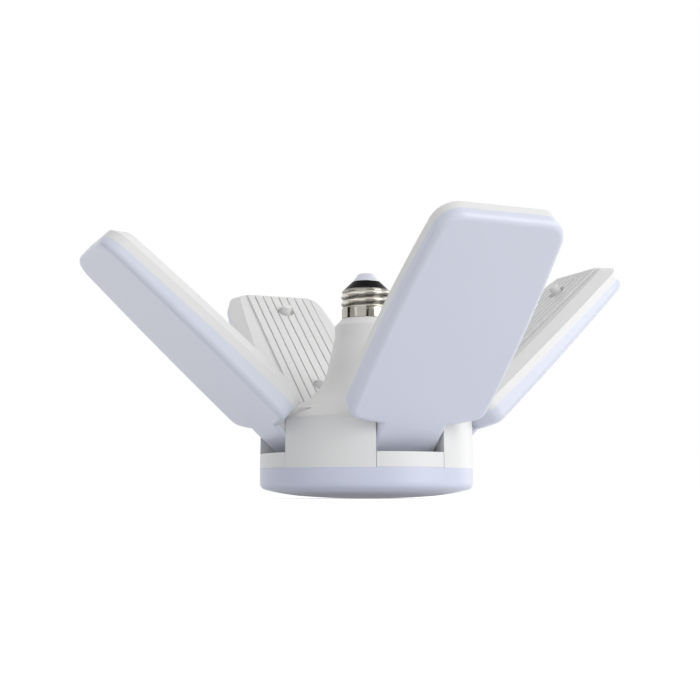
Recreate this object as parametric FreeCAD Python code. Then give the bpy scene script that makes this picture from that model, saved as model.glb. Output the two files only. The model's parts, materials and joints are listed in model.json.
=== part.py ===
import FreeCAD, Part
import math
import os

# A ceiling lamp for a screw socket: a round hub with its own light, and four flat light leaves
# on friction hinges that fold up between four pillars.
# Heights in the functions below count from the seam of the hub's diffuser, and the finished
# solids are lowered by rim_height, so the model's origin is the centre of the screw shell's rim.

# screw base
rim_height = 77.0
skirt_radius = 12.6
skirt_length = 5.4
crest_radius = 13.03
ridge_radius = 1.15
thread_pitch = 3.629
thread_turns = 2.2
thread_start_angle = 224.0
shell_rim_radius = 12.25
shell_rim_height = 1.0
shell_bore_radius = 11.1
shell_length = 15.2
shell_lip_radius = 9.6
insulator_base_radius = 11.9
insulator_top_radius = 7.4
insulator_height = 4.4
contact_radius = 6.9
contact_shoulder = (4.9, 1.45)
contact_face_radius = 3.0
contact_height = 4.4

# neck and hub
hub_radius = 54.3
hub_draft = 0.3
rim_edge_radius = 2.0
rim_edge_height = 25.0
crease_radius = 36.2
crease_height = 31.6
flare_points = [(34.6, 32.9), (25.4, 39.6), (19.9, 50.8)]
taper_top = (16.3, 66.5)
neck_radius = 16.1
neck_top_height = 73.4
neck_chamfer_radius = 12.75
stub_radius = 10.9
stub_length = 13.2
wall = 2.3

# hinge slots in the hub
slot_half_width = 18.0
slot_inner_radius = 31.6
slot_skin_radius = 38.6
slot_skin_height = 29.4
slot_wall = 3.0
strip_height = 7.4
strip_gap = 0.25
strip_depth = 3.6
hinge_radius = 40.0
hinge_height = 15.0
bolt_radius = 2.5
bushing_radius = 3.5
bushing_bore_radius = 1.9
running_clearance = 0.05
hinge_reach = 7.5

# hub light
diffuser_side = 7.2
diffuser_corner = 3.4
diffuser_depth = 15.0
dome_edge_angle = 76.0
dome_cap_radius = 34.0
dome_cap_height = 1.3
dome_shoulder = 0.35
diffuser_wall = 1.9
floor_radius = 51.6
floor_thickness = 2.0
hub_board_radius = 41.0
board_thickness = 1.5
led_size = (3.5, 2.8, 0.8)
hub_led_rings = [(12.0, 8), (30.0, 18), (37.0, 24)]
tray_screw_radius = 46.7
tray_screw_boss_radius = 3.6
board_screw_radius = 24.0
board_screw_angles = (90.0, 210.0, 330.0)
screw_radius = 1.4
screw_head_radius = 2.7
screw_head_height = 1.6
wire_hole_radius = 4.0

# light leaves: x runs out from the hinge, y across the leaf, z out of its ribbed back
leaf_tilts = {"front": 40.2, "right": 41.8, "back": 40.3, "left": 40.6}
leaf_turns = {"front": -90.0, "right": 0.0, "back": 90.0, "left": 180.0}
leaf_apex = 12.8
leaf_end = 136.4
root_arc_radius = 105.0
side_arc_radius = 833.0
side_arc_x = 37.1
leaf_half_width = 35.8
root_corner = 6.5
end_corner = 11.0
seam_level = 1.9
wall_level = 6.1
strip_level = 10.9
rib_level = 11.7
bevel_inset = 6.5
end_bevel_inset = 6.2
root_bevel_inset = 6.0
groove_count = 9
groove_pitch = 5.16
groove_width = 0.9
outer_groove_width = 1.5
groove_depth = 1.3
post_places = (37.0, 112.9)
post_radius = 2.7
post_height = 4.2
pocket_radius = 4.8
pocket_depth = 2.3
leaf_cavity_inset = 4.5
leaf_cavity_level = 7.4
lens_depth = 7.0
lens_slope = 0.03
lens_corner = 3.0
lens_wall = 1.9
lens_lip = 1.3
lens_lip_height = 2.2
leaf_board_inset = 6.2
leaf_led_rows = 3
leaf_led_columns = 13
leaf_led_pitch = (8.6, 17.0)
leaf_led_start = 24.0
arm_half_width = 17.3
tongue_start = -4.5
tongue_top = -4.6
tongue_corner = 2.2
barrel_radius = 7.1
arm_reach = 24.0
arm_top_run = 8.0
arm_root_level = 9.0
fairing_radius = 14.0
fairing_angles = (15.0, 62.0)
fit_gap = 0.15
washer_radii = (3.7, 6.3)
washer_thickness = 0.6

# leads and driver
lead_radius = 1.2
lead_channel_gap = 0.6
lead_side = 7.0
lead_notch = 2.2
lead_meeting = 22.6
lead_end_gap = 0.1
driver_lead_radius = 0.9
terminal_side = 18.0
terminal_height = 5.6
driver_half_width = 12.0
driver_top = 69.0
driver_thickness = 1.6

up = FreeCAD.Vector(0, 0, 1)
along_y = FreeCAD.Vector(0, 1, 0)
origin = FreeCAD.Vector(0, 0, 0)


def point(x, y, z=0.0):
    return FreeCAD.Vector(x, y, z)


def save(name, shape):
    """Lower the solid so that the origin is at the screw shell's rim, and write it."""
    piece = shape.copy()
    piece.translate(point(0, 0, -rim_height))
    piece.exportStep("parts/" + name + ".step")
    print(name, "solids", len(piece.Solids), "valid", piece.isValid(), "volume", round(piece.Volume))


def fuse(shapes):
    return shapes[0].multiFuse(shapes[1:]).removeSplitter() if len(shapes) > 1 else shapes[0]


def cylinder(radius, length, base, axis=up):
    return Part.makeCylinder(radius, length, base, axis)


def centred_box(size_x, size_y, size_z, centre):
    corner = point(centre[0] - size_x / 2, centre[1] - size_y / 2, centre[2] - size_z / 2)
    return Part.makeBox(size_x, size_y, size_z, corner)


def span_box(low, high):
    return Part.makeBox(high[0] - low[0], high[1] - low[1], high[2] - low[2], point(*low))


def turned(edges):
    """A closed profile of (radius, height) edges, turned about the lamp's axis."""
    face = Part.Face(Part.Wire(edges))
    return face.revolve(origin, up, 360)


def profile_line(start, end):
    return Part.LineSegment(point(start[0], 0, start[1]), point(end[0], 0, end[1])).toShape()


def profile_arc(start, middle, end):
    ends = [point(p[0], 0, p[1]) for p in (start, middle, end)]
    return Part.Arc(*ends).toShape()


def profile_chain(points):
    return [profile_line(a, b) for a, b in zip(points, points[1:])]


def to_slot(shape, side):
    """Turn a piece made in the slot's own frame, x outwards, to its side of the hub."""
    piece = shape.copy()
    piece.rotate(origin, up, leaf_turns[side])
    return piece


def to_leaf(shape, side):
    """Tilt a piece made in the leaf's frame about its hinge and turn it to its side."""
    piece = shape.copy()
    piece.rotate(origin, along_y, -leaf_tilts[side])
    piece.translate(point(hinge_radius, 0, hinge_height))
    return to_slot(piece, side)


def rounded_tube(points, radius):
    """A round lead through the points, its corners rounded by arcs as large as the runs allow."""
    corners = [FreeCAD.Vector(*p) for p in points]
    edges = []
    start = corners[0]
    for before, corner, after in zip(corners, corners[1:], corners[2:]):
        back = (before - corner).normalize()
        ahead = (after - corner).normalize()
        half_turn = (math.pi - back.getAngle(ahead)) / 2
        run = min((before - corner).Length, (after - corner).Length)
        reach = 0.45 * run
        bend = reach / math.tan(half_turn)
        bisector = (back + ahead).normalize()
        middle = corner + bisector * (bend / math.cos(half_turn) - bend)
        edges.append(Part.LineSegment(start, corner + back * reach).toShape())
        edges.append(Part.Arc(corner + back * reach, middle, corner + ahead * reach).toShape())
        start = corner + ahead * reach
    edges.append(Part.LineSegment(start, corners[-1]).toShape())
    path = Part.Wire(edges)
    section = Part.Wire(Part.makeCircle(radius, corners[0], corners[1] - corners[0]))
    return path.makePipeShell([section], True, True)


def screw(base, axis, length):
    """A pan-head screw: its head stands below the base point, its shank runs along the axis."""
    head = cylinder(screw_head_radius, screw_head_height, base - axis * screw_head_height, axis)
    return fuse([head, cylinder(screw_radius, length, base, axis)])


# screw base

def screw_shell():
    """The rolled metal shell: a plain skirt below a round-crested thread."""
    skirt = cylinder(skirt_radius, skirt_length, point(0, 0, rim_height))
    core_radius = crest_radius - ridge_radius
    core = cylinder(core_radius, shell_length, point(0, 0, rim_height))
    helix = Part.makeHelix(thread_pitch, thread_pitch * thread_turns, core_radius)
    section = Part.Wire(Part.makeCircle(ridge_radius, point(core_radius, 0, 0), along_y))
    ridge = Part.Wire(helix).makePipeShell([section], True, True)
    ridge.rotate(origin, up, thread_start_angle)
    ridge.translate(point(0, 0, rim_height + skirt_length - 0.3))
    rim_base = point(0, 0, rim_height + shell_length - shell_rim_height)
    outside = core.fuse(ridge).fuse(skirt).fuse(cylinder(shell_rim_radius, shell_rim_height, rim_base))
    bore = cylinder(shell_bore_radius, shell_length - 0.5, point(0, 0, rim_height - 0.01))
    mouth = cylinder(shell_lip_radius, shell_length + 1, point(0, 0, rim_height))
    return outside.cut(bore).cut(mouth)


def base_insulator():
    """The black cone between the shell and the centre contact, with the plug that holds both."""
    bottom = rim_height + shell_length
    base = point(0, 0, bottom)
    cone = Part.makeCone(insulator_base_radius, insulator_top_radius, insulator_height, base)
    plug = cylinder(shell_lip_radius - fit_gap, 2.0, point(0, 0, bottom - 2.0))
    contact_seat = cylinder(3.2, 8.0, point(0, 0, bottom - 3.0))
    return fuse([cone, plug]).cut(contact_seat)


def centre_contact():
    """The stepped metal button at the tip, with its rivet stem through the insulator."""
    bottom = rim_height + shell_length + insulator_height
    top = bottom + contact_height
    face_edge = (contact_face_radius, top)
    shoulder = (contact_shoulder[0], top - contact_shoulder[1])
    bend = ((face_edge[0] + shoulder[0]) / 2 + 0.2, top - contact_shoulder[1] / 2 + 0.3)
    stem_radius = 3.0
    stem_end = bottom - 5.0
    edges = [profile_line((0, top), face_edge), profile_arc(face_edge, bend, shoulder)]
    edges += profile_chain([shoulder, (contact_radius, bottom + 0.3), (contact_radius, bottom),
                            (stem_radius, bottom), (stem_radius, stem_end), (0, stem_end), (0, top)])
    return turned(edges)


# neck and hub

def housing_outside(shrink):
    """The neck, flare, shoulder and drum as one solid; shrink gives the inside of its wall."""
    drum = hub_radius - shrink
    rim = (drum - hub_draft, rim_edge_height - rim_edge_radius - shrink)
    rim_top = (rim[0] - rim_edge_radius, rim_edge_height - shrink)
    bend = rim_edge_radius * (1 - math.sqrt(0.5))
    rim_middle = (rim[0] - bend, rim_edge_height - shrink - bend)
    crease = (crease_radius, crease_height - shrink)
    flare = [(x - shrink, y - shrink * 0.4) for x, y in flare_points]
    taper = (taper_top[0] - shrink, taper_top[1])
    neck = (neck_radius - shrink, neck_top_height)
    edges = profile_chain([(0, 0), (drum, 0), rim])
    edges.append(profile_arc(rim, rim_middle, rim_top))
    edges += profile_chain([rim_top, crease, flare[0]])
    edges.append(profile_arc(*flare))
    edges += profile_chain([flare[2], taper, neck])
    if shrink:
        top = rim_height + stub_length + 1
        bore = stub_radius - wall
        edges += profile_chain([neck, (bore, rim_height), (bore, top), (0, top)])
    else:
        top = rim_height + stub_length
        edges += profile_chain([neck, (neck_chamfer_radius, rim_height), (stub_radius, rim_height)])
        edges += profile_chain([(stub_radius, rim_height), (stub_radius, top), (0, top)])
    edges.append(profile_line((0, top), (0, 0)))
    return turned(edges)


def slot_block(grow):
    """The space of one hinge slot with its walls."""
    low = (slot_inner_radius - grow, -slot_half_width - grow, -1.0)
    high = (hub_radius + 5.0, slot_half_width + grow, crease_height + 9.0)
    return span_box(low, high)


def slot_space():
    """The room cut for one leaf's foot: it stays below the flare's skin near the crease."""
    skin = span_box((0, -hub_radius, slot_skin_height), (slot_skin_radius, hub_radius, rim_height))
    return slot_block(0.0).cut(skin)


def pillar_point(radius, height):
    """A point in the middle of a pillar, half way round between two slots."""
    return point(radius * math.cos(math.pi / 4), radius * math.sin(math.pi / 4), height)


def neck_housing():
    """Neck, shoulder and four pillars in one moulding, open below, with walled hinge slots."""
    outside = housing_outside(0.0)
    inside = housing_outside(wall)
    inside.translate(point(0, 0, -0.01))
    for side in leaf_turns:
        inside = inside.cut(to_slot(slot_block(slot_wall), side))
    housing = outside.cut(inside)
    for side in leaf_turns:
        housing = housing.cut(to_slot(slot_space(), side))
    housing = housing.cut(cylinder(floor_radius + 2 * fit_gap, floor_thickness + 1.0, point(0, 0, -1.0)))
    boss_length = rim_edge_height - 0.5 - floor_thickness
    boss = cylinder(tray_screw_boss_radius, boss_length, pillar_point(tray_screw_radius, floor_thickness))
    pilot = cylinder(screw_radius, 12.0, pillar_point(tray_screw_radius, floor_thickness))
    housing = fuse([housing] + [to_slot(boss, side) for side in leaf_turns])
    stub_top = rim_height + stub_length
    notch = 1.2
    housing = housing.cut(span_box((-stub_radius - 1, -notch, stub_top - 2.4), (-7.0, notch, stub_top + 1)))
    for side in leaf_turns:
        housing = housing.cut(to_slot(pilot, side))
        housing = housing.cut(to_slot(hinge_bores(), side))
    return housing


def hinge_bores():
    """The bolt's and the bushing's holes in the two walls of one slot."""
    reach = slot_wall + 2.0
    centre = point(hinge_radius, -slot_half_width - reach + 1.0, hinge_height)
    bolt_hole = cylinder(bolt_radius + running_clearance, reach, centre, along_y)
    centre = point(hinge_radius, slot_half_width - 1.0, hinge_height)
    return bolt_hole.fuse(cylinder(bushing_radius + running_clearance, reach, centre, along_y))


def base_tray():
    """The hub's floor, with the low wall that closes the foot of each slot."""
    floor = cylinder(floor_radius, floor_thickness, origin)
    ring = cylinder(hub_radius, strip_height, origin)
    ring = ring.cut(cylinder(hub_radius - strip_depth, strip_height, origin))
    half = slot_half_width - strip_gap
    window = span_box((slot_inner_radius, -half, 0), (hub_radius + 1, half, strip_height))
    strip = ring.common(window)
    tray = fuse([floor] + [to_slot(strip, side) for side in leaf_turns])
    hole = cylinder(screw_radius + 0.2, floor_thickness + 2, pillar_point(tray_screw_radius, -1))
    for side in leaf_turns:
        tray = tray.cut(to_slot(hole, side))
    bosses = []
    pilots = []
    for place in board_screw_points():
        bosses.append(cylinder(3.2, 5.0, place))
        pilots.append(cylinder(screw_radius, 6.0, place - up))
    tray = fuse([tray] + bosses)
    for pilot in pilots:
        tray = tray.cut(pilot)
    return tray.cut(cylinder(wire_hole_radius, 4.0, point(18.0, 0, -1.0)))


def board_screw_points():
    turns = [math.radians(angle) for angle in board_screw_angles]
    return [point(board_screw_radius * math.cos(t), board_screw_radius * math.sin(t), 0) for t in turns]


def hub_led_board():
    board = cylinder(hub_board_radius, board_thickness, point(0, 0, -board_thickness))
    depth = board_thickness + 2
    for place in board_screw_points():
        board = board.cut(cylinder(screw_radius + 0.2, depth, place - up * (board_thickness + 1)))
    return board.cut(cylinder(wire_hole_radius, depth, point(18.0, 0, -board_thickness - 1)))


def hub_leds():
    """Rings of small light-emitting chips on the underside of the hub's board."""
    chips = []
    for radius, count in hub_led_rings:
        for i in range(count):
            chip = centred_box(*led_size, (radius, 0, -board_thickness - led_size[2] / 2))
            chip.rotate(origin, up, 360.0 * (i + 0.5) / count)
            chips.append(chip)
    return Part.makeCompound(chips)


def diffuser_solid(radius, corner, side, depth):
    """A round cup's outside: straight side, rounded edge and a shallow dome below."""
    turn = math.radians(dome_edge_angle)
    flat = radius - corner
    rounding = [(flat + corner * math.cos(a), -side - corner * math.sin(a)) for a in (0, turn / 2, turn)]
    dome_radius = dome_cap_radius ** 2 / (2 * dome_cap_height) + dome_cap_height / 2
    middle = dome_cap_radius / 2
    middle_height = dome_radius - math.sqrt(dome_radius ** 2 - middle ** 2) - depth
    cap_edge = (dome_cap_radius, dome_cap_height - depth)
    shoulder = ((rounding[2][0] + cap_edge[0]) / 2, (rounding[2][1] + cap_edge[1]) / 2 - dome_shoulder)
    edges = profile_chain([(0, 0), (radius, 0), rounding[0]])
    edges.append(profile_arc(*rounding))
    edges.append(profile_arc(rounding[2], shoulder, cap_edge))
    edges.append(profile_arc(cap_edge, (middle, middle_height), (0, -depth)))
    edges.append(profile_line((0, -depth), (0, 0)))
    return turned(edges)


def hub_diffuser():
    """The milky cup below the hub, with a lip that snaps inside the housing."""
    outside = diffuser_solid(hub_radius, diffuser_corner, diffuser_side, diffuser_depth)
    inside = diffuser_solid(hub_radius - diffuser_wall, diffuser_corner - 1.4, diffuser_side,
                            diffuser_depth - diffuser_wall)
    return outside.cut(inside)


def tray_screws():
    one = screw(pillar_point(tray_screw_radius, 0), up, 11.0)
    return Part.makeCompound([to_slot(one, side) for side in leaf_turns])


def hub_board_screws():
    below = up * board_thickness
    return Part.makeCompound([screw(place - below, up, 5.5) for place in board_screw_points()])


# leaves

def tangent_corner(circle_a, circle_b, radius):
    """The centre of a corner arc that touches two arcs from the inside."""
    (ax, ay, ra), (bx, by, rb) = circle_a, circle_b
    ra -= radius
    rb -= radius
    gap = math.hypot(bx - ax, by - ay)
    foot = (ra * ra - rb * rb + gap * gap) / (2 * gap)
    height = math.sqrt(ra * ra - foot * foot)
    ux, uy = (bx - ax) / gap, (by - ay) / gap
    both = [(ax + foot * ux - s * height * uy, ay + foot * uy + s * height * ux) for s in (1, -1)]
    return min(both, key=lambda p: (p[1] < 0, p[0]))


def touching(circle, centre, radius):
    """Where a corner arc meets the larger arc around it."""
    dx, dy = centre[0] - circle[0], centre[1] - circle[1]
    size = math.hypot(dx, dy)
    return (centre[0] + radius * dx / size, centre[1] + radius * dy / size)


def leaf_outline(side=0.0, root=0.0, end=0.0, level=0.0, shrink=1.0):
    """The leaf's barrel-shaped outline, drawn in by the given insets, as a closed wire."""
    side_arc = (side_arc_x, leaf_half_width - side_arc_radius, side_arc_radius - side)
    root_arc = (leaf_apex + root_arc_radius, 0.0, root_arc_radius - root)
    inner = root_corner * shrink
    outer = end_corner * shrink
    end_x = leaf_end - end
    inner_centre = tangent_corner(side_arc, root_arc, inner)
    outer_x = end_x - outer
    outer_y = side_arc[1] + math.sqrt((side_arc[2] - outer) ** 2 - (outer_x - side_arc[0]) ** 2)
    outer_centre = (outer_x, outer_y)
    on_root = touching(root_arc, inner_centre, inner)
    side_in = touching(side_arc, inner_centre, inner)
    side_out = touching(side_arc, outer_centre, outer)
    on_end = (end_x, outer_y)
    middle_x = (side_in[0] + side_out[0]) / 2
    side_middle = (middle_x, side_arc[1] + math.sqrt(side_arc[2] ** 2 - (middle_x - side_arc[0]) ** 2))
    inner_middle = arc_middle(inner_centre, on_root, side_in, inner)
    outer_middle = arc_middle(outer_centre, side_out, on_end, outer)
    half = [on_root, inner_middle, side_in, side_middle, side_out, outer_middle, on_end]
    top = [point(x, y, level) for x, y in half]
    low = [point(x, -y, level) for x, y in half]
    apex = point(leaf_apex + root, 0, level)
    edges = [Part.Arc(low[0], apex, top[0]).toShape()]
    edges += [Part.Arc(*top[i:i + 3]).toShape() for i in (0, 2, 4)]
    edges.append(Part.LineSegment(top[6], low[6]).toShape())
    edges += [Part.Arc(low[i + 2], low[i + 1], low[i]).toShape() for i in (4, 2, 0)]
    return Part.Wire(edges)


def arc_middle(centre, start, end, radius):
    dx = start[0] + end[0] - 2 * centre[0]
    dy = start[1] + end[1] - 2 * centre[1]
    size = math.hypot(dx, dy)
    return (centre[0] + radius * dx / size, centre[1] + radius * dy / size)


def plate(wire, height):
    return Part.Face(wire).extrude(up * height)


def leaf_shell_body():
    """The leaf's back: an upright wall, then a bevel up to the raised ribbed field."""
    upright = plate(leaf_outline(level=seam_level), wall_level - seam_level)
    low = leaf_outline(level=wall_level)
    high = leaf_outline(bevel_inset, root_bevel_inset, end_bevel_inset, rib_level, 0.6)
    body = upright.fuse(Part.makeLoft([low, high], True, True))
    field_half = groove_pitch * (groove_count - 1) / 2
    for sign in (1, -1):
        edges_y = sorted((sign * field_half, sign * (leaf_half_width + 1)))
        body = body.cut(span_box((0, edges_y[0], strip_level), (leaf_end + 1, edges_y[1], rib_level + 1)))
    return body


def leaf_grooves():
    """The long grooves between the ribs; the outermost two are wider."""
    cuts = []
    for i in range(groove_count):
        y = (i - (groove_count - 1) / 2) * groove_pitch
        half = (outer_groove_width if i in (0, groove_count - 1) else groove_width) / 2
        low = (leaf_apex, y - half, rib_level - groove_depth)
        cuts.append(span_box(low, (leaf_end + 1, y + half, rib_level + 1)))
    return cuts


def lens_face(x):
    """The level of the light face, which slopes a little towards the hinge."""
    return seam_level - lens_depth - lens_slope * ((leaf_apex + leaf_end) / 2 - x)


def across_arm(outline):
    """A block as wide as the arm with the given (x, level) outline."""
    corners = [point(x, -arm_half_width, z) for x, z in outline + outline[:1]]
    return Part.Face(Part.makePolygon(corners)).extrude(along_y * 2 * arm_half_width)


def leaf_tongue():
    """The milky cover's tongue, which runs below the arm as far as the hinge."""
    end = leaf_apex + 4.0
    block = across_arm([(tongue_start, lens_face(tongue_start)), (end, lens_face(end)),
                        (end, tongue_top), (tongue_start, tongue_top)])
    low = [e for e in block.Edges if e.BoundBox.ZMax < tongue_top - 1.0 and e.BoundBox.XMin < end - 1.0]
    return block.makeFillet(tongue_corner, low)


def leaf_arm():
    """The arm above the cover's tongue, its hinge barrel, and the fairing that fills the slot's top."""
    arm = across_arm([(0, -barrel_radius), (arm_reach, -barrel_radius), (arm_reach, arm_root_level),
                      (arm_top_run, barrel_radius), (0, barrel_radius)])
    barrel = cylinder(barrel_radius, 2 * arm_half_width, point(0, -arm_half_width, 0), along_y)
    turns = [math.radians(angle) for angle in fairing_angles]
    far = 2 * fairing_radius
    wedge = across_arm([(0, 0)] + [(far * math.cos(t), far * math.sin(t)) for t in turns])
    fairing = cylinder(fairing_radius, 2 * arm_half_width, point(0, -arm_half_width, 0), along_y)
    arm = arm.fuse(fairing.common(wedge))
    lens_room = plate(leaf_outline(-fit_gap, -fit_gap, -fit_gap, -20.0), 20.0 + seam_level)
    side = arm_half_width + 1
    corner = -barrel_radius - 1
    tongue_room = span_box((corner, -side, corner), (arm_reach, side, tongue_top + fit_gap))
    return arm.fuse(barrel).cut(lens_room).cut(tongue_room)


def arm_bores():
    """The barrel's holes for the bolt and the bushing, and the channel for the lead."""
    start = -arm_half_width - 1.0
    depth = hinge_reach + 1.5
    bolt_bore = cylinder(bolt_radius + running_clearance, depth, point(0, start, 0), along_y)
    start = arm_half_width - hinge_reach - 0.5
    bushing_bore = cylinder(bushing_radius + running_clearance, depth, point(0, start, 0), along_y)
    return [bolt_bore, bushing_bore, rounded_tube(leaf_lead_route(), lead_radius + lead_channel_gap)]


def leaf_heat_sink():
    """The whole back of a leaf in one casting: shell, ribs, screw posts, arm and barrel."""
    body = leaf_shell_body()
    for cut in leaf_grooves():
        body = body.cut(cut)
    floor_level = rib_level - pocket_depth
    for x in post_places:
        body = body.cut(cylinder(pocket_radius, pocket_depth + 1, point(x, 0, floor_level)))
        body = body.fuse(cylinder(post_radius, pocket_depth + post_height, point(x, 0, floor_level)))
    body = fuse([body, leaf_arm()])
    room = leaf_outline(leaf_cavity_inset, leaf_cavity_inset, leaf_cavity_inset, seam_level - 1, 0.7)
    body = body.cut(plate(room, leaf_cavity_level - seam_level + 1))
    for x in post_places:
        body = body.cut(cylinder(screw_radius, 6.5, point(x, 0, leaf_cavity_level - 1)))
    for cut in arm_bores():
        body = body.cut(cut)
    return body


def lens_solid(inset, depth, corner):
    """The outside, or the inside, of the milky cover: flat, slightly sloping and round-edged."""
    outline = leaf_outline(inset, inset, inset, -20.0, 1 - inset / end_corner)
    block = plate(outline, 20.0 + seam_level)
    middle_x = (leaf_apex + leaf_end) / 2
    slope = math.degrees(math.atan(lens_slope))
    below = Part.makeBox(200, 120, 40, point(-100, -60, -40))
    below.rotate(origin, along_y, -slope)
    below.translate(point(middle_x, 0, seam_level - depth))
    block = block.cut(below)
    low_edges = [e for e in block.Edges if e.BoundBox.ZMax < seam_level - 1.5]
    return block.makeFillet(corner, low_edges)


def leaf_diffuser():
    outside = lens_solid(0.0, lens_depth, lens_corner)
    inside = lens_solid(lens_wall, lens_depth - lens_wall, lens_corner - 1.2)
    cup = outside.fuse(leaf_tongue()).cut(inside)
    outer = leaf_cavity_inset + fit_gap
    rim = plate(leaf_outline(outer, outer, outer, seam_level - 1.2, 0.68), lens_lip_height + 1.2)
    inner = outer + lens_lip
    hollow = plate(leaf_outline(inner, inner, inner, seam_level - 2, 0.55), lens_lip_height + 3)
    shelf = plate(leaf_outline(1.0, 1.0, 1.0, seam_level - 1.2, 0.9), 1.2)
    shelf = shelf.cut(plate(leaf_outline(inner, inner, inner, seam_level - 2, 0.55), 3))
    cover = fuse([cup, shelf, rim.cut(hollow)])
    return cover.cut(span_box((leaf_apex, lead_side - lead_notch, seam_level + 0.4),
                              (leaf_apex + 12, lead_side + lead_notch, seam_level + 5)))


def leaf_led_board():
    inset = leaf_board_inset
    outline = leaf_outline(inset, inset, inset, leaf_cavity_level - board_thickness, 0.5)
    board = plate(outline, board_thickness)
    for x in post_places:
        board = board.cut(cylinder(screw_radius + 0.2, 4.0, point(x, 0, leaf_cavity_level - 3)))
    return board


def leaf_leds():
    """Three rows of light-emitting chips on the board, facing the cover."""
    level = leaf_cavity_level - board_thickness - led_size[2] / 2
    chips = []
    for column in range(leaf_led_columns):
        for row in range(leaf_led_rows):
            x = leaf_led_start + column * leaf_led_pitch[0]
            y = (row - (leaf_led_rows - 1) / 2) * leaf_led_pitch[1]
            chips.append(centred_box(*led_size, (x, y, level)))
    posts = [cylinder(screw_head_radius + 0.4, 10, point(x, 0, level - 5)) for x in post_places]
    clear = [chip for chip in chips if all(chip.common(post).Volume < 1e-6 for post in posts)]
    return Part.makeCompound(clear)


def leaf_board_screws():
    base = leaf_cavity_level - board_thickness
    return Part.makeCompound([screw(point(x, 0, base), up, 7.0) for x in post_places])


def leaf_lead_route():
    """The lead's route from the leaf's board into the barrel and out along the hinge axis."""
    y = lead_side
    return [(27.0, y, 4.3), (16.5, y, 3.9), (8.0, y, 2.6), (0, y + 1.0, 0), (0, lead_meeting, 0)]


def leaf_lead():
    return rounded_tube([(23.5, lead_side, 4.15)] + leaf_lead_route()[1:], lead_radius)


# hinge hardware, in the slot's frame

def hinge_bolt():
    """A shoulder bolt from inside one pillar, through the slot's wall into the barrel."""
    head_start = slot_half_width + slot_wall
    shank_length = head_start - arm_half_width + hinge_reach
    base = point(hinge_radius, -head_start, hinge_height)
    shank = cylinder(bolt_radius, shank_length, base, along_y)
    return fuse([shank, cylinder(4.2, 2.6, base - along_y * 2.6, along_y)])


def hinge_bushing():
    """A hollow bushing from the other side, which lets the lead through the hinge."""
    head_start = slot_half_width + slot_wall
    length = head_start - arm_half_width + hinge_reach
    base = point(hinge_radius, head_start, hinge_height)
    body = cylinder(bushing_radius, length, base - along_y * length, along_y)
    flange = cylinder(5.2, 1.4, base, along_y)
    bore = cylinder(bushing_bore_radius, length + 4, base - along_y * (length + 1), along_y)
    return fuse([body, flange]).cut(bore)


def friction_washers():
    """A washer in the gap at each end of the barrel."""
    gap = slot_half_width - arm_half_width
    start = arm_half_width + (gap - washer_thickness) / 2
    inner, outer = washer_radii
    pair = []
    for y in (start, -start - washer_thickness):
        base = point(hinge_radius, y, hinge_height)
        ring = cylinder(outer, washer_thickness, base, along_y)
        pair.append(ring.cut(cylinder(inner, washer_thickness, base, along_y)))
    return Part.makeCompound(pair)


def hub_lead():
    """The lead from the hinge through the pillar to the terminal block."""
    end = (terminal_side / 2 + lead_end_gap) / math.sqrt(2)
    start = lead_meeting + lead_end_gap
    route = [(hinge_radius, start, hinge_height), (hinge_radius, 28.0, hinge_height),
             (34.0, 27.0, 6.5), (23.5, 23.6, 4.4), (14.2, 14.2, 4.2), (end, end, 4.2)]
    return rounded_tube(route, lead_radius)


# driver

def terminal_block():
    """The block on the hub's floor where the four leaf leads and the driver meet."""
    block = centred_box(terminal_side, terminal_side, terminal_height,
                        (0, 0, floor_thickness + terminal_height / 2))
    block.rotate(origin, up, 45)
    return block


def driver_board():
    """The circuit board that stands on edge in the neck."""
    half = driver_thickness / 2
    return span_box((-driver_half_width, -half, floor_thickness + terminal_height),
                    (driver_half_width, half, driver_top))


def driver_transformer():
    face = driver_thickness / 2
    core = span_box((-7, face, 18), (7, face + 11, 30))
    windings = span_box((-4.5, face, 15.5), (4.5, face + 9, 32.5))
    return fuse([core, windings])


def driver_capacitor():
    face = driver_thickness / 2
    can = cylinder(5.0, 17.0, point(0, face + 5.2, 37.0))
    foot = span_box((-2.6, face, 38), (2.6, face + 2.0, 53))
    return fuse([can, foot])


def driver_inductor():
    face = driver_thickness / 2
    return fuse([cylinder(4.0, 1.2, point(0, face, 62), along_y),
                 cylinder(2.9, 6.6, point(0, face, 62), along_y),
                 cylinder(4.0, 1.2, point(0, face + 6.0, 62), along_y)])


def film_capacitor():
    face = -driver_thickness / 2
    return span_box((-6.5, face - 6, 22), (6.5, face, 34))


def bridge_rectifier():
    face = -driver_thickness / 2
    return span_box((-2.5, face - 1.8, 42), (2.5, face, 48))


def fuse_resistor():
    face = -driver_thickness / 2
    body = cylinder(1.9, 9.0, point(0, face - 2.1, 55))
    wire = cylinder(0.5, 13.0, point(0, face - 2.1, 53))
    feet = [span_box((-0.5, face - 2.3, z), (0.5, face, z + 1.0)) for z in (53.0, 65.0)]
    return fuse([body, wire] + feet)


def live_lead():
    """From the centre contact's stem down to the top of the driver board."""
    stem_end = rim_height + shell_length + insulator_height - 5.0 - lead_end_gap
    board_end = driver_top + lead_end_gap
    route = [(0, 0, stem_end), (0, 0, stem_end - 6.0), (5.0, 0, board_end + 7.0), (5.0, 0, board_end)]
    return rounded_tube(route, driver_lead_radius)


def neutral_lead():
    """From the shell's bore through a notch in the stub and down to the driver board."""
    level = rim_height + stub_length - 1.2
    board_end = driver_top + lead_end_gap
    route = [(lead_end_gap - shell_bore_radius, 0, level), (-6.6, 0, level), (-6.6, 0, level - 8.0),
             (-5.0, 0, board_end + 5.0), (-5.0, 0, board_end)]
    return rounded_tube(route, driver_lead_radius)


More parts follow.
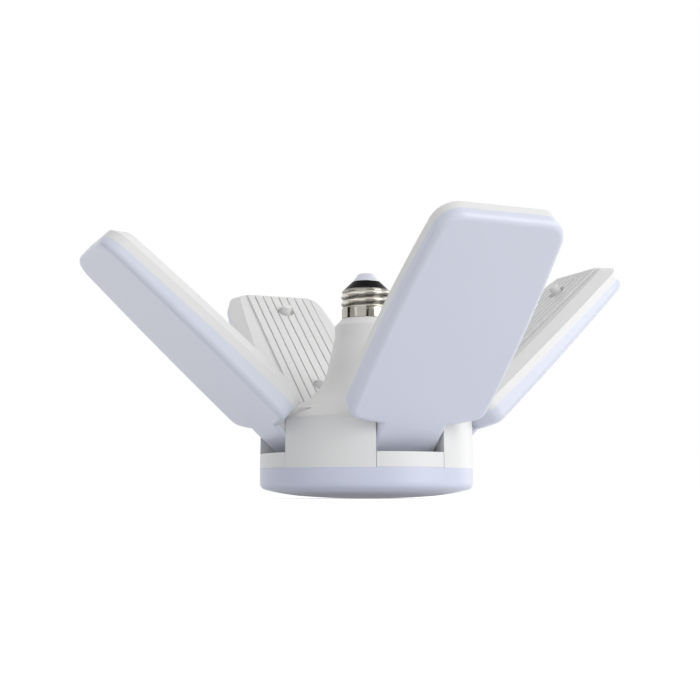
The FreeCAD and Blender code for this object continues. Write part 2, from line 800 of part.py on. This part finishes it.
lamp_pieces = {
    "screw_shell": screw_shell, "base_insulator": base_insulator, "centre_contact": centre_contact,
    "neck_housing": neck_housing, "base_tray": base_tray, "hub_led_board": hub_led_board,
    "hub_leds": hub_leds, "hub_diffuser": hub_diffuser, "tray_screws": tray_screws,
    "hub_board_screws": hub_board_screws, "terminal_block": terminal_block,
    "driver_board": driver_board, "driver_transformer": driver_transformer,
    "driver_capacitor": driver_capacitor, "driver_inductor": driver_inductor,
    "film_capacitor": film_capacitor, "bridge_rectifier": bridge_rectifier,
    "fuse_resistor": fuse_resistor, "live_lead": live_lead, "neutral_lead": neutral_lead,
}
leaf_pieces = {
    "heat_sink": leaf_heat_sink, "diffuser": leaf_diffuser, "led_board": leaf_led_board,
    "leds": leaf_leds, "board_screws": leaf_board_screws, "leaf_lead": leaf_lead,
}
slot_pieces = {
    "hinge_bolt": hinge_bolt, "hinge_bushing": hinge_bushing,
    "friction_washers": friction_washers, "hub_lead": hub_lead,
}

os.makedirs("parts", exist_ok=True)
for name, make in lamp_pieces.items():
    save(name, make())
for name, make in leaf_pieces.items():
    piece = make()
    for side in leaf_turns:
        save(side + "_" + name, to_leaf(piece, side))
for name, make in slot_pieces.items():
    piece = make()
    for side in leaf_turns:
        save(side + "_" + name, to_slot(piece, side))
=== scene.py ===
import json
import math

import bmesh
import bpy
from mathutils import Matrix, Vector


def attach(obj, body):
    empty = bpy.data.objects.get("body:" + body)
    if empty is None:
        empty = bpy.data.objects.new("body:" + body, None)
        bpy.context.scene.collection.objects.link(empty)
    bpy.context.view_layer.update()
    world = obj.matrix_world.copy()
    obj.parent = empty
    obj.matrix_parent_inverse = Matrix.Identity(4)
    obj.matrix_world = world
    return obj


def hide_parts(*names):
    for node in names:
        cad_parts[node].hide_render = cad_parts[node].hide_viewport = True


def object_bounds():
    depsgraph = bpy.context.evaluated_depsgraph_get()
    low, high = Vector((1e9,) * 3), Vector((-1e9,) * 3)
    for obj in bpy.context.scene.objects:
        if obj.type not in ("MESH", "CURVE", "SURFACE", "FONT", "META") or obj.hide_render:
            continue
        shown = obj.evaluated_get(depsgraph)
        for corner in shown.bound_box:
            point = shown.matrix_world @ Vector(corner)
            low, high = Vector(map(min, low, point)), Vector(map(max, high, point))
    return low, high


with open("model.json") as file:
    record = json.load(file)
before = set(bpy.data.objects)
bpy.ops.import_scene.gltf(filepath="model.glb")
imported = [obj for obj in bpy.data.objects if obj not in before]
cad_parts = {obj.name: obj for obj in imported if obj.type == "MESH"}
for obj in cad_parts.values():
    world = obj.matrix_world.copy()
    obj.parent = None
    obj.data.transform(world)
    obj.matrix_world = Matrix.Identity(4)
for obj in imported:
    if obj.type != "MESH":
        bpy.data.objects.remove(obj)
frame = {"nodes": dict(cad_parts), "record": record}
nodes = frame["nodes"]
cadLow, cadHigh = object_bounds()
print("frame: %d pieces" % len(nodes))

sides = ("front", "right", "back", "left")
behaviour = frame["record"]["behaviour"]
hinges = {joint["child"]: joint for joint in behaviour["joints"]}
mm = 0.001


def leafFrame(side):
    # the place of a leaf's own frame: x out from the hinge, y across, z out of its ribbed back
    hinge = hinges[side + "_leaf"]
    x, y, z = hinge["pos_m"]
    heading = Matrix.Rotation(math.atan2(y, x), 4, "Z")
    tilt = Matrix.Rotation(math.radians(hinge["range_deg"][0]), 4, "Y")
    return Matrix.Translation((x, y, z)) @ heading @ tilt


# a node socket that can be used in sums; each operator adds the node that works it out
class Wire:
    def __init__(self, graph, socket):
        self.graph = graph
        self.socket = socket

    def work(self, operation, first, second):
        return self.graph.add("ShaderNodeMath", {"operation": operation}, {0: first, 1: second})

    def __add__(self, other):
        return self.work("ADD", self, other)

    def __radd__(self, other):
        return self.work("ADD", other, self)

    def __sub__(self, other):
        return self.work("SUBTRACT", self, other)

    def __rsub__(self, other):
        return self.work("SUBTRACT", other, self)

    def __mul__(self, other):
        return self.work("MULTIPLY", self, other)

    def __rmul__(self, other):
        return self.work("MULTIPLY", other, self)

    def __truediv__(self, other):
        return self.work("DIVIDE", self, other)

    def __rtruediv__(self, other):
        return self.work("DIVIDE", other, self)

    def out(self, name):
        return Wire(self.graph, self.socket.node.outputs[name])


class Graph:
    def __init__(self, tree):
        self.tree = tree
        tree.nodes.clear()

    def add(self, kind, settings=None, sockets=None):
        node = self.tree.nodes.new(kind)
        for name, value in (settings or {}).items():
            setattr(node, name, value)
        for name, value in (sockets or {}).items():
            if isinstance(value, Wire):
                self.tree.links.new(value.socket, node.inputs[name])
            else:
                node.inputs[name].default_value = value
        return Wire(self, node.outputs[0]) if node.outputs else node

    def clamp(self, value):
        return self.add("ShaderNodeClamp", None, {"Value": value})

    def function(self, operation, value, second=0.5):
        return self.add("ShaderNodeMath", {"operation": operation}, {0: value, 1: second})

    def blend(self, factor, first, second):
        # sockets 6, 7 and output 2 are the mix node's colours
        settings = {"data_type": "RGBA"}
        mixed = self.add("ShaderNodeMix", settings, {0: factor, 6: first, 7: second})
        return Wire(self, mixed.socket.node.outputs[2])

    def ramp(self, value, low, high):
        sockets = {"Value": value, "From Min": low, "From Max": high}
        return self.add("ShaderNodeMapRange", {"interpolation_type": "SMOOTHSTEP"}, sockets)


def colour(red, green, blue):
    return (red, green, blue, 1.0)


class Growth(Graph):
    # one geometry recipe with named inputs; it ends in real geometry with its material set
    def __init__(self, name, inputs):
        super().__init__(bpy.data.node_groups.new(name, "GeometryNodeTree"))
        face = self.tree.interface
        face.new_socket("Geometry", in_out="INPUT", socket_type="NodeSocketGeometry")
        face.new_socket("Geometry", in_out="OUTPUT", socket_type="NodeSocketGeometry")
        for label, kind in inputs.items():
            face.new_socket(label, in_out="INPUT", socket_type="NodeSocket" + kind)
        face.new_socket("Material", in_out="INPUT", socket_type="NodeSocketMaterial")
        self.given = self.add("NodeGroupInput")

    def end(self, geometry):
        real = self.add("GeometryNodeRealizeInstances", None, {"Geometry": geometry})
        sockets = {"Geometry": real, "Material": self.given.out("Material")}
        self.add("NodeGroupOutput", None, {"Geometry": self.add("GeometryNodeSetMaterial", None, sockets)})

    def grown(self, mesh, values):
        # a new plain mesh: the recipe run on the given mesh
        host = bpy.data.objects.new(mesh.name, mesh)
        bpy.context.collection.objects.link(host)
        modifier = host.modifiers.new("growth", "NODES")
        modifier.node_group = self.tree
        for item in self.tree.interface.items_tree:
            if item.in_out == "INPUT" and item.name in values:
                modifier[item.identifier] = values[item.name]
        return baked(host)


def baked(host):
    # the mesh of an object after its modifiers; the object itself goes
    host.update_tag()
    view = bpy.context.evaluated_depsgraph_get()
    mesh = bpy.data.meshes.new_from_object(host.evaluated_get(view))
    mesh.name = host.name
    bpy.data.objects.remove(host)
    return mesh


class Look(Graph):
    # one procedural material: its graph, its place on the object and its surface
    def __init__(self, name):
        self.material = bpy.data.materials.new(name)
        self.material.use_nodes = True
        super().__init__(self.material.node_tree)
        place = self.add("ShaderNodeTexCoord")
        self.place = place.out("Object")

    def noise(self, scale, detail=2.0, roughness=0.5, vector=None):
        sockets = {"Vector": vector or self.place, "Scale": scale, "Detail": detail, "Roughness": roughness}
        return self.add("ShaderNodeTexNoise", None, sockets)

    def bump(self, height, strength, distance):
        sockets = {"Height": height, "Strength": strength, "Distance": distance}
        return self.add("ShaderNodeBump", None, sockets)

    def uneven(self, mean, spread, pattern):
        # a value that goes up and down with a pattern, about its mean
        return mean - spread / 2 + spread * pattern

    def surface(self, **sockets):
        names = {name.replace("_", " "): value for name, value in sockets.items()}
        shader = self.add("ShaderNodeBsdfPrincipled", None, names)
        self.add("ShaderNodeOutputMaterial", None, {"Surface": shader})
        return self.material


# finishes
whitePlasticFinish = {
    "colour": (0.80, 0.80, 0.795), "shade": (0.765, 0.765, 0.76), "roughness": 0.38, "spread": 0.08,
    "mottle": 35.0, "grain": 2600.0, "grainStrength": 0.25, "grainDepth": 0.00001,
}


def whitePlastic():
    look = Look("whitePlastic")
    f = whitePlasticFinish
    mottle = look.noise(f["mottle"], 3.0)
    grain = look.noise(f["grain"], 1.0)
    return look.surface(
        Base_Color=look.blend(mottle, colour(*f["shade"]), colour(*f["colour"])),
        Roughness=look.uneven(f["roughness"], f["spread"], mottle),
        Normal=look.bump(grain, f["grainStrength"], f["grainDepth"]),
    )


powderCoatFinish = {
    "colour": (0.81, 0.81, 0.805), "shade": (0.78, 0.78, 0.775), "roughness": 0.42, "spread": 0.1,
    "mottle": 24.0, "peel": 900.0, "peelStrength": 0.3, "peelDepth": 0.00002,
}


def powderCoat():
    look = Look("powderCoat")
    f = powderCoatFinish
    mottle = look.noise(f["mottle"], 3.0)
    peel = look.noise(f["peel"], 2.0)
    return look.surface(
        Base_Color=look.blend(mottle, colour(*f["shade"]), colour(*f["colour"])),
        Roughness=look.uneven(f["roughness"], f["spread"], mottle),
        Normal=look.bump(peel, f["peelStrength"], f["peelDepth"]),
    )


# the milky covers; the one under the hub is a darker copy of the same milky plastic, painted shade for a
# cover that is lit less than those of the leaves
milkyCoverFinish = {
    "colour": (0.71, 0.74, 0.85), "shade": (0.68, 0.71, 0.82), "roughness": 0.33, "spread": 0.06,
    "mottle": 9.0, "frost": 3000.0, "frostStrength": 0.2, "frostDepth": 0.000008,
}
hubShadedCoverFinish = {**milkyCoverFinish, "colour": (0.64, 0.67, 0.80), "shade": (0.61, 0.64, 0.77)}


def milkyCover(name, f):
    look = Look(name)
    mottle = look.noise(f["mottle"], 2.0)
    frost = look.noise(f["frost"], 1.0)
    return look.surface(
        Base_Color=look.blend(mottle, colour(*f["shade"]), colour(*f["colour"])),
        Roughness=look.uneven(f["roughness"], f["spread"], mottle),
        Normal=look.bump(frost, f["frostStrength"], f["frostDepth"]),
    )


# the nickel's darkest colour is painted shade, laid into the thread's troughs
nickelFinish = {
    "colour": (0.70, 0.67, 0.60), "shade": (0.58, 0.55, 0.49), "troughShade": (0.09, 0.085, 0.075),
    "roughness": 0.11, "spread": 0.08, "troughRadius": 0.01205, "crestRadius": 0.01300,
    "streaks": 160.0, "squeeze": 9.0, "streakStrength": 0.10, "streakDepth": 0.00005,
}


def nickel():
    look = Look("nickel")
    f = nickelFinish
    stretched = look.add("ShaderNodeMapping", None, {"Vector": look.place, "Scale": (1.0, 1.0, f["squeeze"])})
    streaks = look.noise(f["streaks"], 4.0, 0.6, stretched)
    plating = look.blend(streaks, colour(*f["shade"]), colour(*f["colour"]))
    axes = look.add("ShaderNodeSeparateXYZ", None, {"Vector": look.place})
    x, y = axes.out("X"), axes.out("Y")
    # painted shade: the base colour goes dark towards the thread's troughs, so the troughs and part of the
    # plain skirt show shade while the crests keep the plating colour
    shadedTroughs = look.ramp(look.function("SQRT", x * x + y * y), f["troughRadius"], f["crestRadius"])
    return look.surface(
        Base_Color=look.blend(shadedTroughs, colour(*f["troughShade"]), plating),
        Metallic=1.0,
        Roughness=look.uneven(f["roughness"], f["spread"], streaks),
        Normal=look.bump(streaks, f["streakStrength"], f["streakDepth"]),
    )


plainFinish = {"spread": 0.1, "mottleStrength": 0.3}


def flatFinish(name, main, second, roughness, scale, depth=0.00002, metallic=0.0, specular=0.5):
    # two close colours in a fine mottle, with as fine a bump
    look = Look(name)
    mottle = look.noise(scale, 3.0)
    return look.surface(
        Base_Color=look.blend(mottle, colour(*second), colour(*main)),
        Metallic=metallic,
        Specular_IOR_Level=specular,
        Roughness=look.uneven(roughness, plainFinish["spread"], mottle),
        Normal=look.bump(mottle, plainFinish["mottleStrength"], depth),
    )


# plain finishes: name, main colour, second colour, roughness, mottle scale, then bump depth and metallic
finishes = {
    "white_plastic": whitePlastic(),
    "white_casting": powderCoat(),
    "milky_cover": milkyCover("milkyCover", milkyCoverFinish),
    "nickel_plate": nickel(),
    "black_insulator": flatFinish("blackGlaze", (0.004, 0.004, 0.005), (0.008, 0.008, 0.009), 0.22, 300.0,
                                  specular=0.03),
    "tip_solder": flatFinish("tinnedTip", (0.70, 0.72, 0.80), (0.62, 0.64, 0.72), 0.40, 220.0, 0.00004, 0.3),
    "board_white": flatFinish("boardWhite", (0.82, 0.82, 0.80), (0.76, 0.76, 0.73), 0.35, 90.0),
    "led_yellow": flatFinish("phosphor", (0.86, 0.66, 0.16), (0.80, 0.58, 0.10), 0.45, 800.0),
    "steel_screw": flatFinish("zincScrew", (0.60, 0.60, 0.62), (0.48, 0.48, 0.50), 0.34, 500.0, 0.00003, 1.0),
    "board_green": flatFinish("boardGreen", (0.03, 0.20, 0.08), (0.02, 0.15, 0.06), 0.30, 120.0),
    "ferrite_dark": flatFinish("ferrite", (0.045, 0.042, 0.042), (0.07, 0.065, 0.06), 0.60, 400.0),
    "capacitor_sleeve": flatFinish("sleeve", (0.02, 0.03, 0.06), (0.03, 0.04, 0.08), 0.28, 200.0),
    "film_red": flatFinish("dippedFilm", (0.42, 0.06, 0.03), (0.34, 0.05, 0.03), 0.30, 260.0),
    "chip_black": flatFinish("chipBlack", (0.02, 0.02, 0.02), (0.035, 0.035, 0.035), 0.55, 900.0),
    "resistor_body": flatFinish("lacquer", (0.15, 0.33, 0.36), (0.12, 0.28, 0.31), 0.25, 400.0),
    "terminal_plastic": flatFinish("terminalPlastic", (0.72, 0.72, 0.69), (0.66, 0.66, 0.63), 0.5, 150.0),
    "lead_red": flatFinish("leadRed", (0.50, 0.03, 0.02), (0.42, 0.02, 0.02), 0.4, 300.0),
    "lead_black": flatFinish("leadBlack", (0.02, 0.02, 0.02), (0.03, 0.03, 0.03), 0.4, 300.0),
    "lead_white": flatFinish("leadWhite", (0.74, 0.74, 0.72), (0.68, 0.68, 0.66), 0.4, 300.0),
    "bearing_plastic": flatFinish("acetal", (0.66, 0.66, 0.63), (0.60, 0.60, 0.57), 0.45, 200.0),
}

slotOf = {}
for part in frame["record"]["subparts"]:
    node = nodes[part["node"]]
    slotOf[part["node"]] = part["material_slot"]
    node.data.materials.clear()
    node.data.materials.append(finishes[part["material_slot"]])
# the hub's cover takes the darker copy of the milky plastic: painted shade
nodes["hub_diffuser"].data.materials[0] = milkyCover("hubCover", hubShadedCoverFinish)
bodyOf = {name: body for body, names in behaviour["bodies"].items() for name in names}
print("finishes: %d" % len(finishes))


def addPiece(name, mesh, slot, body, *replaced):
    mesh.materials.clear()
    mesh.materials.append(finishes[slot])
    piece = bpy.data.objects.new(name, mesh)
    bpy.context.collection.objects.link(piece)
    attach(piece, body)
    if replaced:
        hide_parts(*replaced)


# moulded and cast parts: the CAD shape with its edges eased
edgeAngle = math.radians(28.0)
easing = {"segments": 3, "mergeDistance": 0.000002, "flatAngle": math.radians(0.3)}
edgePlan = {
    "neck_housing": {"piece": "softHousing", "width": 0.00045},
    "base_tray": {"piece": "softTray", "width": 0.0004},
    "front_heat_sink": {"piece": "frontCasting", "width": 0.0004},
    "right_heat_sink": {"piece": "rightCasting", "width": 0.0004},
    "back_heat_sink": {"piece": "backCasting", "width": 0.0004},
    "left_heat_sink": {"piece": "leftCasting", "width": 0.0004},
}


def smoothed(mesh):
    mesh.shade_smooth()
    mesh.set_sharp_from_angle(angle=edgeAngle)
    return mesh


def easeEdges(nodeName, plan):
    shape = bmesh.new()
    shape.from_mesh(nodes[nodeName].data)
    bmesh.ops.remove_doubles(shape, verts=shape.verts, dist=easing["mergeDistance"])
    bmesh.ops.dissolve_limit(shape, angle_limit=easing["flatAngle"], verts=shape.verts, edges=shape.edges)
    mesh = bpy.data.meshes.new(plan["piece"])
    shape.to_mesh(mesh)
    shape.free()
    host = bpy.data.objects.new(plan["piece"], smoothed(mesh))
    bpy.context.collection.objects.link(host)
    ease = host.modifiers.new("ease", "BEVEL")
    ease.width = plan["width"]
    ease.segments = easing["segments"]
    ease.limit_method = "ANGLE"
    ease.angle_limit = edgeAngle
    ease.harden_normals = True
    addPiece(plan["piece"], baked(host), slotOf[nodeName], bodyOf[nodeName], nodeName)


for nodeName, plan in edgePlan.items():
    easeEdges(nodeName, plan)
print("eased: %d" % len(edgePlan))


latheMerge = 0.000001


def lathe(name, rings, segments, lobes=0):
    # a closed outline of (radius, height, lobe) in millimetres, turned about the upright axis
    shape = bmesh.new()
    grid = []
    for i in range(segments):
        turn = 2 * math.pi * i / segments
        row = []
        for radius, height, lobe in rings:
            reach = mm * radius * (1.0 + lobe * math.cos(lobes * turn))
            row.append(shape.verts.new((reach * math.cos(turn), reach * math.sin(turn), mm * height)))
        grid.append(row)
    for i in range(segments):
        here, there = grid[i], grid[(i + 1) % segments]
        for j in range(len(rings)):
            k = (j + 1) % len(rings)
            shape.faces.new((here[j], there[j], there[k], here[k]))
    bmesh.ops.remove_doubles(shape, verts=shape.verts, dist=latheMerge)
    bmesh.ops.dissolve_degenerate(shape, edges=shape.edges, dist=latheMerge)
    bmesh.ops.recalc_face_normals(shape, faces=shape.faces)
    mesh = bpy.data.meshes.new(name)
    shape.to_mesh(mesh)
    shape.free()
    return mesh


# the screw shell: a lathed blank whose thread is rolled by the recipe below
shellPlan = {
    "segments": 168, "rows": 84, "threadFrom": 5.2, "threadTo": 14.3, "blankRadius": 12.58,
    "pitch": 3.629, "depth": 0.92, "fade": 1.2, "crestHeight": 8.05, "crestTurn": 156.5, "insideRadius": 11.6,
    "foot": [(12.25, 0.0), (12.6, 0.25), (12.6, 4.9)],
    "rim": [(12.35, 14.55), (12.3, 14.95), (12.0, 15.2), (9.8, 15.2), (9.7, 14.8)],
    "inside": [(11.15, 14.5), (11.15, 0.0)],
}


def rolledThread():
    labels = ("Pitch", "Depth", "Crest height", "Crest turn", "From", "To", "Fade", "Inside")
    growth = Growth("rolledThread", {label: "Float" for label in labels})
    given = growth.given
    axes = growth.add("ShaderNodeSeparateXYZ", None, {"Vector": growth.add("GeometryNodeInputPosition")})
    x, y, z = axes.out("X"), axes.out("Y"), axes.out("Z")
    radius = growth.function("SQRT", x * x + y * y)
    turn = growth.function("ARCTAN2", y, x) - given.out("Crest turn")
    climb = (z - given.out("Crest height")) * (2 * math.pi) / given.out("Pitch")
    wave = growth.function("COSINE", climb - turn)
    rise = growth.ramp(z, given.out("From"), given.out("From") + given.out("Fade"))
    fall = growth.ramp(given.out("To") - z, 0.0, given.out("Fade"))
    outside = growth.function("GREATER_THAN", radius, given.out("Inside"))
    reach = wave * given.out("Depth") * 0.5 * rise * fall * outside
    push = reach / radius
    offset = growth.add("ShaderNodeCombineXYZ", None, {"X": x * push, "Y": y * push})
    growth.end(growth.add("GeometryNodeSetPosition", None, {"Geometry": given, "Offset": offset}))
    return growth


def screwShell():
    p = shellPlan
    step = (p["threadTo"] - p["threadFrom"]) / p["rows"]
    thread = [(p["blankRadius"], p["threadFrom"] + step * i) for i in range(p["rows"] + 1)]
    rings = [(r, h, 0.0) for r, h in p["foot"] + thread + p["rim"] + p["inside"]]
    blank = lathe("rolledShell", rings, p["segments"])
    values = {
        "Pitch": mm * p["pitch"], "Depth": mm * p["depth"], "Fade": mm * p["fade"],
        "From": mm * p["threadFrom"], "To": mm * p["threadTo"], "Inside": mm * p["insideRadius"],
        "Crest height": mm * p["crestHeight"], "Crest turn": math.radians(p["crestTurn"]),
        "Material": finishes["nickel_plate"],
    }
    mesh = rolledThread().grown(smoothed(blank), values)
    addPiece("rolledShell", smoothed(mesh), "nickel_plate", "lamp_body", "screw_shell")


screwShell()
print("screw shell")


# chips and screws: one small part set down on every point of a plan
def scattering():
    growth = Growth("scatter", {"Part": "Object", "Radial": "Float"})
    given = growth.given
    axes = growth.add("ShaderNodeSeparateXYZ", None, {"Vector": growth.add("GeometryNodeInputPosition")})
    turn = growth.function("ARCTAN2", axes.out("Y"), axes.out("X")) * given.out("Radial")
    spin = growth.add("ShaderNodeCombineXYZ", None, {"Z": turn})
    part = growth.add("GeometryNodeObjectInfo", None, {"Object": given.out("Part")}).out("Geometry")
    points = growth.add("GeometryNodeMeshToPoints", None, {"Mesh": given})
    sockets = {"Points": points, "Instance": part, "Rotation": spin}
    growth.end(growth.add("GeometryNodeInstanceOnPoints", None, sockets))
    return growth


scatter = scattering()


def scattered(name, partMesh, points, slot, radial=0.0):
    part = bpy.data.objects.new(name + "Part", partMesh)
    bpy.context.collection.objects.link(part)
    plan = bpy.data.meshes.new(name)
    plan.from_pydata([Vector(point) * mm for point in points], [], [])
    mesh = scatter.grown(plan, {"Part": part, "Radial": radial, "Material": finishes[slot]})
    bpy.data.objects.remove(part)
    return smoothed(mesh)


# sizes in millimetres; a leaf's chips and screws are placed in its own frame, the hub's in the lamp's
chipPlan = {
    "size": (3.5, 2.8, 0.8), "ease": 0.12, "windowSegments": 20,
    "window": [(0.0, -0.44, 0.0), (0.95, -0.44, 0.0), (1.1, -0.38, 0.0), (1.1, -0.3, 0.0), (0.0, -0.3, 0.0)],
    "rows": 3, "columns": 13, "pitch": (8.6, 17.0), "start": 24.0, "level": 5.5, "postRoom": 4.9,
    "rings": [(12.0, 8), (30.0, 18), (37.0, 24)], "hubLevel": -78.9,
}
screwPlan = {
    "head": [(0.0, -0.6, 0.0), (0.5, -0.6, 0.4), (0.9, -1.5, 0.4), (1.7, -1.6, 0.0), (2.35, -1.35, 0.0),
             (2.7, -0.8, 0.0), (2.7, 0.0, 0.0)],
    "shank": 1.38, "root": 1.1, "pitch": 0.5, "plain": 0.3, "point": 0.2, "segments": 32, "slots": 4,
}
leafScrews = {"length": 7.0, "places": (37.0, 112.9), "level": 5.9}
hubScrews = {
    "hubBoardScrews": {"node": "hub_board_screws", "length": 5.5, "radius": 24.0, "angles": (90, 210, 330),
                       "level": -78.5},
    "trayScrews": {"node": "tray_screws", "length": 11.0, "radius": 46.7, "angles": (45, 135, 225, 315),
                   "level": -77.0},
}


def chipBody():
    shape = bmesh.new()
    bmesh.ops.create_cube(shape, size=1.0)
    for vert in shape.verts:
        vert.co = Vector([mm * a * b for a, b in zip(vert.co, chipPlan["size"])])
    bmesh.ops.bevel(shape, geom=shape.edges, offset=mm * chipPlan["ease"], segments=2, affect="EDGES")
    mesh = bpy.data.meshes.new("chipBody")
    shape.to_mesh(mesh)
    shape.free()
    return mesh


def screwMesh(length):
    p = screwPlan
    rings = list(p["head"]) + [(p["shank"], 0.0, 0.0)]
    height = p["plain"]
    while height < length - p["pitch"]:
        rings += [(p["shank"], height, 0.0), (p["root"], height + p["pitch"] / 2, 0.0)]
        height += p["pitch"]
    rings += [(p["root"], length - p["point"], 0.0), (0.0, length, 0.0)]
    return lathe("screw", rings, p["segments"], p["slots"])


def addChips(name, points, body, node, radial, place):
    package = scattered(name + "Chips", chipBody(), points, "board_white", radial)
    disc = lathe("window", chipPlan["window"], chipPlan["windowSegments"])
    window = scattered(name + "Windows", disc, points, "led_yellow", radial)
    for mesh in (package, window):
        mesh.transform(place)
    addPiece(name + "Windows", window, "led_yellow", body, node)
    addPiece(name + "Chips", package, "board_white", body)


def addScrews(name, length, points, body, node, place):
    mesh = scattered(name, screwMesh(length), points, "steel_screw")
    mesh.transform(place)
    addPiece(name, mesh, "steel_screw", body, node)


def ringPoints(radius, angles, height):
    turns = [math.radians(angle) for angle in angles]
    return [(radius * math.cos(t), radius * math.sin(t), height) for t in turns]


def leafSpots():
    # the grid of a leaf's chips, without those where a screw post stands
    p = chipPlan
    spots = [(p["start"] + p["pitch"][0] * i, p["pitch"][1] * (j - 1), p["level"])
             for i in range(p["columns"]) for j in range(p["rows"])]
    posts = leafScrews["places"]
    return [(x, y, z) for x, y, z in spots if y or min(abs(x - post) for post in posts) > p["postRoom"]]


def smallParts():
    screws = [(x, 0.0, leafScrews["level"]) for x in leafScrews["places"]]
    for side in sides:
        body = side + "_leaf"
        place = leafFrame(side)
        addChips(side, leafSpots(), body, side + "_leds", 0.0, place)
        addScrews(side + "BoardScrews", leafScrews["length"], screws, body, side + "_board_screws", place)
    stay = Matrix.Identity(4)
    ring = []
    for radius, count in chipPlan["rings"]:
        ring += ringPoints(radius, [360.0 * (i + 0.5) / count for i in range(count)], chipPlan["hubLevel"])
    addChips("hub", ring, "lamp_body", "hub_leds", 1.0, stay)
    for name, plan in hubScrews.items():
        points = ringPoints(plan["radius"], plan["angles"], plan["level"])
        addScrews(name, plan["length"], points, "lamp_body", plan["node"], stay)


smallParts()
print("chips and screws")


# the room
roomPlan = {
    "floorSize": 8.0, "floorColour": (0.80, 0.80, 0.80), "floorShade": (0.82, 0.82, 0.82), "floorLift": 0.55,
    "skyColour": (1.0, 1.0, 1.0), "skyLight": 0.55,
}
lampPlan = {
    "key": {"at": (0.8, -1.35, 0.52), "size": 1.2, "power": 14.0, "colour": (1.0, 1.0, 1.0)},
    "side": {"at": (1.5, 0.3, 0.52), "size": 1.2, "power": 5.0, "colour": (1.0, 1.0, 1.0)},
    "fill": {"at": (-1.5, 0.0, 0.52), "size": 1.2, "power": 2.2, "colour": (0.92, 0.94, 1.0)},
}
# dark cards that only reflections see, for the metal
cardPlan = {
    "frontCard": {"at": (-0.10, -1.30, 0.02), "wide": 0.95, "high": 0.55},
    "overCamera": {"at": (-0.3, -0.9, 0.75), "wide": 1.6, "high": 0.22},
    "leftCard": {"at": (-1.26, 0.32, 0.05), "wide": 0.95, "high": 0.75},
    "rightCard": {"at": (1.35, -0.2, 0.05), "wide": 0.45, "high": 0.75},
}
cameraPlan = {
    "at": (-0.2662, -0.5903, -0.0895), "tilt": 96.50, "heading": -23.53,
    "focalPixels": 1260.7, "imagePixels": 700.0, "sensor": 36.0,
}


def seenRay(graph):
    # 1 for what the camera, reflections and clear parts see, 0 for the light that falls on the lamp
    path = graph.add("ShaderNodeLightPath")
    seen = path.out("Is Camera Ray") + path.out("Is Glossy Ray") + path.out("Is Transmission Ray")
    return graph.clamp(seen)


def makeWorld():
    world = bpy.data.worlds.new("studio")
    world.use_nodes = True
    bpy.context.scene.world = world
    graph = Graph(world.node_tree)
    seen = seenRay(graph)
    strength = roomPlan["skyLight"] + (1.0 - roomPlan["skyLight"]) * seen
    sockets = {"Color": colour(*roomPlan["skyColour"]), "Strength": strength}
    sky = graph.add("ShaderNodeBackground", None, sockets)
    graph.add("ShaderNodeOutputWorld", None, {"Surface": sky})


def floorLook():
    look = Look("studioFloor")
    tone = look.blend(look.noise(3.0), colour(*roomPlan["floorColour"]), colour(*roomPlan["floorShade"]))
    return look.surface(Base_Color=tone, Roughness=0.9, Emission_Color=colour(1.0, 1.0, 1.0),
                        Emission_Strength=roomPlan["floorLift"] * seenRay(look))


def makeFloor():
    mesh = bpy.data.meshes.new("floor")
    half = roomPlan["floorSize"] / 2
    corners = [(-half, -half), (half, -half), (half, half), (-half, half)]
    mesh.from_pydata([(x, y, cadLow.z) for x, y in corners], [], [(0, 1, 2, 3)])
    floor = bpy.data.objects.new("floor", mesh)
    bpy.context.collection.objects.link(floor)
    mesh.materials.append(floorLook())


def makeLamps():
    middle = (cadLow + cadHigh) / 2
    for name, plan in lampPlan.items():
        light = bpy.data.lights.new(name, "AREA")
        light.shape = "SQUARE"
        light.size = plan["size"]
        light.energy = plan["power"]
        light.color = plan["colour"]
        lamp = bpy.data.objects.new(name, light)
        bpy.context.collection.objects.link(lamp)
        lamp.location = plan["at"]
        lamp.rotation_euler = (Vector(plan["at"]) - middle).to_track_quat("Z", "Y").to_euler()


def makeCards():
    black = flatFinish("darkCard", (0.01, 0.01, 0.01), (0.015, 0.015, 0.015), 0.9, 4.0, specular=0.0)
    for name, plan in cardPlan.items():
        wide, high = plan["wide"] / 2, plan["high"] / 2
        corners = [(-wide, -high, 0), (wide, -high, 0), (wide, high, 0), (-wide, high, 0)]
        mesh = bpy.data.meshes.new(name)
        mesh.from_pydata(corners, [], [(0, 1, 2, 3)])
        facing = Vector((plan["at"][0], plan["at"][1], 0.0)).to_track_quat("Z", "Y").to_matrix().to_4x4()
        mesh.transform(Matrix.Translation(plan["at"]) @ facing)
        mesh.materials.append(black)
        card = bpy.data.objects.new(name, mesh)
        bpy.context.collection.objects.link(card)
        card.visible_camera = False
        card.visible_diffuse = False
        card.visible_transmission = False
        card.visible_shadow = False


def makeCamera():
    c = cameraPlan
    lens = bpy.data.cameras.new("camera")
    lens.sensor_fit = "HORIZONTAL"
    lens.sensor_width = c["sensor"]
    lens.lens = c["sensor"] * c["focalPixels"] / c["imagePixels"]
    lens.clip_start = 0.01
    lens.clip_end = 50.0
    camera = bpy.data.objects.new("camera", lens)
    bpy.context.collection.objects.link(camera)
    camera.location = c["at"]
    camera.rotation_euler = (math.radians(c["tilt"]), 0.0, math.radians(c["heading"]))
    bpy.context.scene.camera = camera


makeWorld()
makeFloor()
makeLamps()
makeCards()
makeCamera()
bpy.context.scene.view_settings.view_transform = "Standard"
print("room, lamps and camera")
